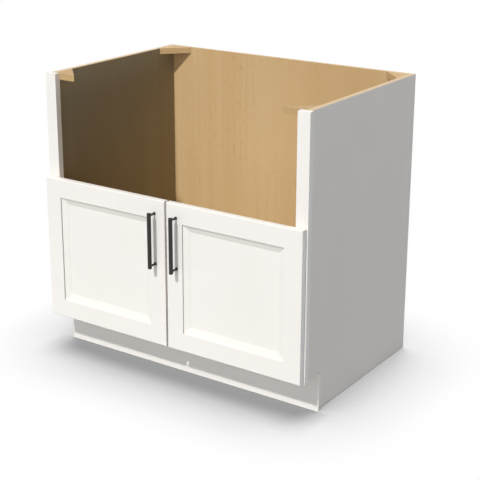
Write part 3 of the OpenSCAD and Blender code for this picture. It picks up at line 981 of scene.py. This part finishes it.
def screw_tree():
    tree, size = new_tree(
        "screw",
        Head_Radius=3.4 * MM,
        Head_Height=1.8 * MM,
        Crown=1.0,
        Taper=0.0,
        Shank_Radius=1.7 * MM,
        Length=14.0 * MM,
        Pitch=1.5 * MM,
        Cross_Width=2.0 * MM,
        Cross_Depth=1.2 * MM,
    )
    blank, core = turned_screw(tree, size)
    meshes = {"Mesh 1": blank, "Mesh 2": cross_cutter(tree, size)}
    cut_head = step(tree, "MeshBoolean", meshes, solver="EXACT")
    whole = step(tree, "JoinGeometry", {"Geometry": [cut_head, spiral_thread(tree, size, core)]})
    end_tree(tree, size, soften(tree, whole), turn_of_seat(tree))
    return tree


screws = screw_tree()
print("screw tree has", len(screws.nodes), "steps")

# %% [markdown]
# ## Set the screws
# Each kind of screw takes its sizes from the rod that it stands for: the rod's box gives the length and the
# head's radius. The grown piece replaces the rods, which stay in the frame for collision.

# %% Set the screws
PAN_HEAD = {"Head_Height": 1.8 * MM, "Crown": 1.0, "Taper": 0.0, "Pitch": 1.6 * MM}
FLAT_HEAD = {"Head_Height": 1.0 * MM, "Crown": 0.1, "Taper": 1.0, "Pitch": 1.6 * MM}
WASHER_HEAD = {"Head_Height": 1.8 * MM, "Crown": 0.7, "Taper": 0.0, "Pitch": 0.7 * MM}
CROSS = {"Cross_Width": 2.1 * MM, "Cross_Depth": 1.1 * MM}
WIDE_CROSS = {"Cross_Width": 2.6 * MM, "Cross_Depth": 1.3 * MM}
PAN_SCREW = {"Shank_Radius": 1.7 * MM, **PAN_HEAD, **CROSS}
FLAT_SCREW = {"Shank_Radius": 1.7 * MM, **FLAT_HEAD, **CROSS}
MACHINE_SCREW = {"Shank_Radius": 2.0 * MM, **WASHER_HEAD, **WIDE_CROSS}


def set_screws(name, node, body, outward, kind):
    seats = seats_of(node, outward)
    low, high = loose_boxes(node)[0]
    spans = sorted(high - low)
    sizes = {"Length": spans[2], "Head_Radius": spans[1] / 2}
    piece = grow(name, seed_from(name, seats), screws, body, nickel, "hinge_steel", **sizes, **kind)
    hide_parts(node)
    print(name, "has", len(seats), "screws,", round(sizes["Length"] / MM, 1), "mm long")


set_screws("hinge_arm_pan_screws", "hinge_arm_screws", "carcass", towards_middle, PAN_SCREW)
for side in ("left", "right"):
    door = side + "_door"
    set_screws(side + "_cup_flat_screws", side + "_hinge_cup_screws", door, towards_wall, FLAT_SCREW)
    set_screws(side + "_handle_machine_screws", side + "_handle_screws", door, towards_wall, MACHINE_SCREW)

# %% [markdown]
# ## Bumpers
# Small clear domes on the backs of the doors stop them from slapping the face frame. They are cast on a
# thin film that sticks to the door. A squashed ball would have no film, so the outline is a thin disc with
# a dome on it, turned like a screw.

# %% Set the bumpers
BUMPER_SIDES = 28
FILM = ((0.0, 0.97), (0.03, 1.0), (0.1, 1.0))
DOME = ((0.13, 0.9), (0.4, 0.84), (0.68, 0.66), (0.88, 0.42), (0.98, 0.16))


def bumper_tree():
    """FILM and DOME hold heights and radii, as shares of the bumper's own."""
    tree, size = new_tree("bumper", Radius=5.0 * MM, Height=2.7 * MM)
    height, radius = size["Height"], size["Radius"]
    outline = [(times(tree, height, up), times(tree, radius, out)) for up, out in FILM + DOME]
    outline.append((height, POINT_RADIUS))
    end_tree(tree, size, soften(tree, turned(tree, outline, BUMPER_SIDES)), turn_of_seat(tree))
    return tree


bumpers = bumper_tree()
for side in ("left", "right"):
    node = side + "_door_bumpers"
    low, high = loose_boxes(node)[0]
    sizes = {"Radius": (high.x - low.x) / 2, "Height": high.y - low.y}
    seats = seats_of(node, towards_wall, at_head=False)
    seed = seed_from(side + "_domes", seats)
    piece = grow(side + "_door_dome_bumpers", seed, bumpers, side + "_door", clear_bumper, "bumper", **sizes)
    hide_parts(node)
    print(piece.name, "has", len(seats), "domes,", round(sizes["Height"] / MM, 1), "mm high")

# %% [markdown]
# ## Staples in the back
# The back panel is stapled to the sides, to the bottom panel and to the rear corner blocks. The seed is a
# few straight lines where those boards lie behind it. The tree resamples each line into evenly spaced
# points, turns a staple along the line there, and tilts it a little at random, as a nail gun in the hand
# does. A staple is a bent wire: a path through four places with filleted corners and a square section. Its
# crown is driven almost flush, because the back goes flat against the wall.

# %% Set the staples
STAPLE_PROUD = 0.05 * MM
BEND_RADIUS = 1.0 * MM
BEND_STEPS = 3
OUT_OF_THE_BACK = (-math.pi / 2, 0.0, 0.0)
LOWEST, HIGHEST, DRAWN = 2, 3, 1
FOOT_GAP = 60 * MM
TOP_GAP = 40 * MM
DECK_GAP = 60 * MM
BLOCK_GAPS = (20 * MM, 30 * MM)


def bent_wire(tree, size):
    """A crown with two legs."""
    half = times(tree, size["Crown Width"], 0.5)
    other_half = times(tree, size["Crown Width"], -0.5)
    deep = times(tree, size["Leg Length"], -1.0)
    crown = sum_of(tree, "SUBTRACT", STAPLE_PROUD, times(tree, size["Wire"], 0.5))
    places = ((other_half, deep), (other_half, crown), (half, crown), (half, deep))
    wire = path_through(tree, [place_of(tree, x=x, z=z) for x, z in places])
    bend = {"Curve": wire, "Radius": BEND_RADIUS, "Count": BEND_STEPS}
    bent = step(tree, "FilletCurve", bend, mode="POLY")
    square = step(tree, "CurvePrimitiveQuadrilateral", {"Width": size["Wire"], "Height": size["Wire"]})
    return step(tree, "CurveToMesh", {"Curve": bent, "Profile Curve": square, "Fill Caps": True})


def staple_turn(tree, size):
    """Looks out of the back, lies along its line, and leans a little at random."""
    outward = rotation_from(tree, OUT_OF_THE_BACK)
    along = {"Rotation": outward, "Vector": step(tree, "InputTangent")}
    along = step(tree, "AlignRotationToVector", along, family="FunctionNode", axis="X", pivot_axis="Z")
    limits = {LOWEST: times(tree, size["Tilt"], -1.0), HIGHEST: size["Tilt"], "Seed": size["Seed"]}
    tilt = add_node(tree, "FunctionNodeRandomValue", limits, data_type="FLOAT")
    lean = rotation_from(tree, place_of(tree, z=tilt.outputs[DRAWN]))
    both = {"Rotation": along, "Rotate By": lean}
    return step(tree, "RotateRotation", both, family="FunctionNode", rotation_space="LOCAL")


def staple_tree():
    tree, size = new_tree(
        "staple",
        Crown_Width=10.5 * MM,
        Leg_Length=9.0 * MM,
        Wire=1.1 * MM,
        Spacing=100.0 * MM,
        Tilt=0.16,
        Seed=7,
    )
    lines = step(tree, "MeshToCurve", {"Mesh": size["Geometry"]})
    points = step(tree, "ResampleCurve", {"Curve": lines, "Length": size["Spacing"]}, mode="LENGTH")
    end_tree(tree, size, soften(tree, bent_wire(tree, size)), staple_turn(tree, size), points)
    return tree


def staple_lines():
    """Lines on the rear face of the back panel: up both sides, along the bottom and over the blocks."""
    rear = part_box("back_panel")[1].y
    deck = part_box("bottom_panel")
    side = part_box("right_side_panel")
    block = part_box("rear_right_corner_block")
    out = (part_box("back_panel")[1].x + side[0].x) / 2
    top = side[1].z - TOP_GAP
    deck_z = (deck[0].z + deck[1].z) / 2
    block_z = (block[0].z + block[1].z) / 2
    block_ends = (block[0].x + BLOCK_GAPS[0], block[1].x - BLOCK_GAPS[1])
    ends = [((sign * out, FOOT_GAP), (sign * out, top)) for sign in (-1, 1)]
    ends.append(((-out + DECK_GAP, deck_z), (out - DECK_GAP, deck_z)))
    ends += [tuple((sign * x, block_z) for x in block_ends) for sign in (-1, 1)]
    seed = bpy.data.meshes.new("staple_lines")
    places = [Vector((x, rear, z)) for pair in ends for x, z in pair]
    seed.from_pydata(places, [(2 * k, 2 * k + 1) for k in range(len(ends))], [])
    return seed


staples = grow("back_panel_staples", staple_lines(), staple_tree(), "carcass", nickel, "hinge_steel")
print("back_panel_staples has", len(staples.data.polygons), "faces")

# %% [markdown]
# ## The floor
# A catalogue picture stands the cabinet on white, with only a soft shadow where it shuts out the light. So
# to the camera, and in reflections, the floor is white and is darkened only by how much of the sky the
# cabinet hides from it, which is what an Ambient Occlusion node measures. The front overhangs the toe
# board, so a band of floor before the board is darker still, right up to both ends, and clears step by step
# further out. To every other ray the floor is a plain pale sheet that throws light back up.

# %% The floor
FLOOR_HALF = 40.0
FLOOR_COLOUR = (0.44, 0.45, 0.47, 1.0)
SHADOW_REACH = 0.3
SHADOW_STOPS = ((0.0, 0.33), (0.38, 0.345), (0.55, 0.585), (0.72, 0.815), (1.0, 1.0))
SKY_LEAN = (0.12, 0.0, 0.993)
BAND_REACH = 0.4
BAND_STOPS = ((0.0, 0.345), (0.115, 0.335), (0.2, 0.455), (0.315, 0.69), (0.435, 0.88), (0.61, 1.0))
BAND_LEFT = (-0.05, 0.08)
BAND_RIGHT = (0.045, -0.055)
SKY_SAMPLES = 16


def seen_directly(tree):
    """1 for rays of the camera, reflections and glass, and 0 for the light that surfaces scatter."""
    path = shader_node(tree, "LightPath")
    seen = math_node(tree, "MAXIMUM", path.outputs["Is Camera Ray"], path.outputs["Is Glossy Ray"])
    return math_node(tree, "MAXIMUM", seen, path.outputs["Is Transmission Ray"])


def overhang_shade(tree, level):
    """Darkens the floor before the toe board, and fades in and out round the two ends of the front."""
    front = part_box("toe_kick_board")[0].y
    ahead = math_node(tree, "SUBTRACT", front, place_along(tree, "Y"))
    band = graded(tree, math_node(tree, "DIVIDE", ahead, BAND_REACH), BAND_STOPS)
    across = place_along(tree, "X")
    left = ramp(tree, across, cad_low.x + BAND_LEFT[0], cad_low.x + BAND_LEFT[1])
    right = ramp(tree, across, cad_high.x + BAND_RIGHT[0], cad_high.x + BAND_RIGHT[1])
    share = math_node(tree, "MULTIPLY", left, right)
    share = math_node(tree, "MULTIPLY", share, math_node(tree, "GREATER_THAN", ahead, 0.0))
    return mix_number(tree, share, level, math_node(tree, "MINIMUM", level, band))


def floor_finish():
    finish = bpy.data.materials.new("studio_floor")
    finish.use_nodes = True
    tree = finish.node_tree
    tree.nodes.clear()
    reach = {"Distance": SHADOW_REACH, "Normal": SKY_LEAN}
    open_sky = shader_node(tree, "AmbientOcclusion", reach, samples=SKY_SAMPLES).outputs["AO"]
    level = overhang_shade(tree, graded(tree, open_sky, SHADOW_STOPS))
    white = shader_node(tree, "Emission", {"Strength": level})
    matt = shader_node(tree, "BsdfDiffuse", {"Color": FLOOR_COLOUR})
    choice = {0: seen_directly(tree), 1: matt.outputs[0], 2: white.outputs[0]}
    mixed = shader_node(tree, "MixShader", choice)
    shader_node(tree, "OutputMaterial", {"Surface": mixed.outputs[0]})
    return finish


def lay_floor():
    mesh = bpy.data.meshes.new("floor")
    corners = [(FLOOR_HALF * x, FLOOR_HALF * y, 0.0) for x, y in ((-1, -1), (1, -1), (1, 1), (-1, 1))]
    mesh.from_pydata(corners, [], [(0, 1, 2, 3)])
    floor = bpy.data.objects.new("floor", mesh)
    floor.data.materials.append(floor_finish())
    bpy.context.scene.collection.objects.link(floor)
    floor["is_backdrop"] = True


lay_floor()
print("floor is laid,", 2 * FLOOR_HALF, "m wide")

# %% [markdown]
# ## The light
# One large lamp high in front of the doors lights everything that faces forwards or up, and a weaker one
# hangs overhead. The sides face away from both and get their light from the floor and from two soft round
# panels low in the room, a wide one in front and a smaller one on the right. Those come in flat, so the
# cabinet's own walls keep them out of the deep bay, and the bay stays dark as a real one does. A panel in
# the world is the cosine between where a ray goes and the panel's middle, cut off softly at the panel's
# edge. A third lamp, low behind the left rear corner, shows the back and the left side.

# %% The light
KEY_LAMP = {"azimuth": 0.0, "elevation": 46.3, "strength": 2.31, "softness": 2.5}
TOP_LAMP = {"azimuth": 0.0, "elevation": 90.0, "strength": 0.92, "softness": 5.0}
REAR_LAMP = {"azimuth": 218.0, "elevation": 9.0, "strength": 1.5, "softness": 12.0}
FRONT_PANEL = {"azimuth": 5.0, "elevation": 5.0, "strength": 1.23, "half_size": 35.0}
RIGHT_PANEL = {"azimuth": 95.0, "elevation": 0.0, "strength": 14.3, "half_size": 6.0}
PANEL_EDGE = 8.0
DOME_STRENGTH = 0.07
ROOM_COLOUR = (0.975, 1.0, 1.05, 1.0)
WHITE = (1.0, 1.0, 1.0, 1.0)


def hang_lamp(name, azimuth, elevation, strength, softness):
    lamp = bpy.data.lights.new(name, "SUN")
    lamp.energy = strength
    lamp.angle = math.radians(softness)
    hung = bpy.data.objects.new(name, lamp)
    hung.rotation_euler = direction(azimuth, elevation).to_track_quat("Z", "Y").to_euler()
    bpy.context.scene.collection.objects.link(hung)
    return hung


def panel_glow(tree, towards, azimuth, elevation, strength, half_size):
    """How bright a soft round panel in the room is in each direction."""
    both = {0: towards, 1: direction(azimuth, elevation)}
    facing = shader_node(tree, "VectorMath", both, operation="DOT_PRODUCT").outputs["Value"]
    rim = math.cos(math.radians(half_size + PANEL_EDGE / 2))
    inside = math.cos(math.radians(half_size - PANEL_EDGE / 2))
    return ramp(tree, facing, rim, inside, 0.0, strength)


def light_room():
    world = bpy.data.worlds.new("studio")
    bpy.context.scene.world = world
    world.use_nodes = True
    tree = world.node_tree
    tree.nodes.clear()
    towards = shader_node(tree, "TexCoord").outputs["Generated"]
    panels = [panel_glow(tree, towards, **panel) for panel in (FRONT_PANEL, RIGHT_PANEL)]
    glow = math_node(tree, "ADD", math_node(tree, "ADD", *panels), DOME_STRENGTH)
    strength = mix_number(tree, seen_directly(tree), glow, 1.0)
    colour = mix_colour(tree, seen_directly(tree), ROOM_COLOUR, WHITE)
    sky = shader_node(tree, "Background", {"Color": colour, "Strength": strength})
    shader_node(tree, "OutputWorld", {"Surface": sky.outputs[0]})


hang_lamp("key_lamp", **KEY_LAMP)
hang_lamp("top_lamp", **TOP_LAMP)
hang_lamp("rear_lamp", **REAR_LAMP).visible_glossy = False
light_room()
bpy.context.scene.view_settings.view_transform = "Standard"
print("key lamp at", KEY_LAMP["strength"], "and two panels low in the room")

# %% [markdown]
# ## Check the size and finish
# The last cell gathers both boxes, the frame's and the finished cabinet's, prints the size of the
# finished one, and closes the lesson.

# %% The sizes of the finished cabinet
low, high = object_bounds()
sizes = {"cad": [list(cad_low), list(cad_high)], "visual": [list(low), list(high)]}
print("visual box is", [round(side / MM, 2) for side in high - low], "mm")
